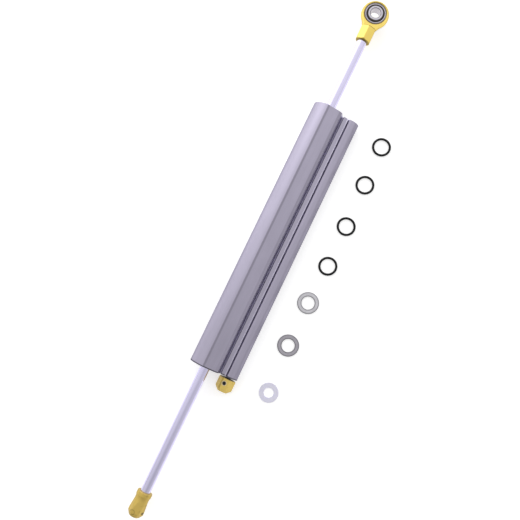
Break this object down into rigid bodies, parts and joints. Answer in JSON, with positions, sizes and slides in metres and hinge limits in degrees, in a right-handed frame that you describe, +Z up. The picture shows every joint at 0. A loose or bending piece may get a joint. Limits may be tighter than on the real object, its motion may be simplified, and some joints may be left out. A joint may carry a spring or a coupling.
{
  "type": "motorcycle steering damper",
  "caption": "Linear steering damper: a through rod with a spherical eye slides in a twin barrel body with a click adjuster; spare seal rings and washers lie beside it.",
  "frame": {"origin": "on the piston rod's axis, at the middle of the twin barrel body's length", "axes": "+X along the piston rod towards the eye, +Z up and along the eye's bolt hole, as the damper lies on both barrels"},
  "size_m": [0.4467, 0.0736, 0.0259],
  "materials": {
    "anodised_body": "satin grey-lavender anodised extrusion",
    "gold_anodised": "satin gold anodised",
    "chrome_rod": "ground and hard chromed",
    "bearing_steel": "ground bearing steel",
    "steel": "turned steel",
    "dark_steel": "blackened spring steel",
    "washer_steel": "stamped zinc-plated steel",
    "bronze": "turned bronze",
    "ptfe": "matt",
    "black_liner": "matt",
    "black_rubber": "satin moulded rubber",
    "foam": "closed cell foam",
    "nylon": "translucent white"
  },
  "bodies": {
    "barrel": {"barrel_body": "anodised_body", "upper_rod_guide": "steel", "lower_rod_guide": "steel", "upper_rod_bush": "bronze", "lower_rod_bush": "bronze", "upper_rod_seal": "black_rubber", "lower_rod_seal": "black_rubber", "upper_wiper": "black_rubber", "lower_wiper": "black_rubber", "upper_guide_o_ring": "black_rubber", "lower_guide_o_ring": "black_rubber", "upper_circlip": "dark_steel", "lower_circlip": "dark_steel", "valve_sleeve": "steel", "valve_sleeve_o_ring": "black_rubber", "valve_seat": "bronze", "detent_ball": "bearing_steel", "detent_spring": "steel", "channel_plug": "anodised_body", "channel_plug_o_ring": "black_rubber", "expansion_insert": "foam", "port_plugs": "steel", "spare_o_rings": "black_rubber", "spare_steel_washers": "washer_steel", "spare_nylon_washer": "nylon"},
    "glide_ring": {"piston_glide_ring": "ptfe"},
    "rod": {"piston_rod": "chrome_rod", "piston": "bronze", "piston_o_ring": "black_rubber", "piston_shims": "steel", "piston_circlips": "dark_steel", "rod_end": "gold_anodised", "bearing_race": "bearing_steel", "end_cap_nut": "gold_anodised"},
    "liner": {"bearing_liner": "black_liner"},
    "ball": {"bearing_ball": "bearing_steel"},
    "adjuster": {"adjuster_knob": "gold_anodised", "knob_set_screw": "dark_steel", "adjuster_spindle": "steel", "spindle_o_ring": "black_rubber"},
    "needle": {"valve_needle": "bronze"}
  },
  "joints": [
    {"name": "rod_slide", "type": "slide", "parent": "barrel", "child": "glide_ring", "axis": [1, 0, 0], "range_m": [-0.057, 0.098]},
    {"name": "rod_turn", "type": "hinge", "parent": "glide_ring", "child": "rod", "pos_m": [0, 0, 0], "axis": [1, 0, 0], "continuous": true},
    {"name": "eye_tilt", "type": "hinge", "parent": "rod", "child": "liner", "pos_m": [0.199, 0, 0], "axis": [0, 1, 0], "range_deg": [-12, 12]},
    {"name": "eye_turn", "type": "hinge", "parent": "liner", "child": "ball", "pos_m": [0.199, 0, 0], "axis": [0, 0, 1], "continuous": true},
    {"name": "adjuster_turn", "type": "hinge", "parent": "barrel", "child": "adjuster", "pos_m": [0, -0.01929, -0.006], "axis": [1, 0, 0], "range_deg": [-450, 450]},
    {"name": "needle_travel", "type": "slide", "parent": "adjuster", "child": "needle", "axis": [1, 0, 0], "range_m": [-0.00125, 0.00125]}
  ],
  "couplings": [
    {"joint": "adjuster_turn", "follows": "needle_travel", "rad_per_m": 6283.2}
  ]
}
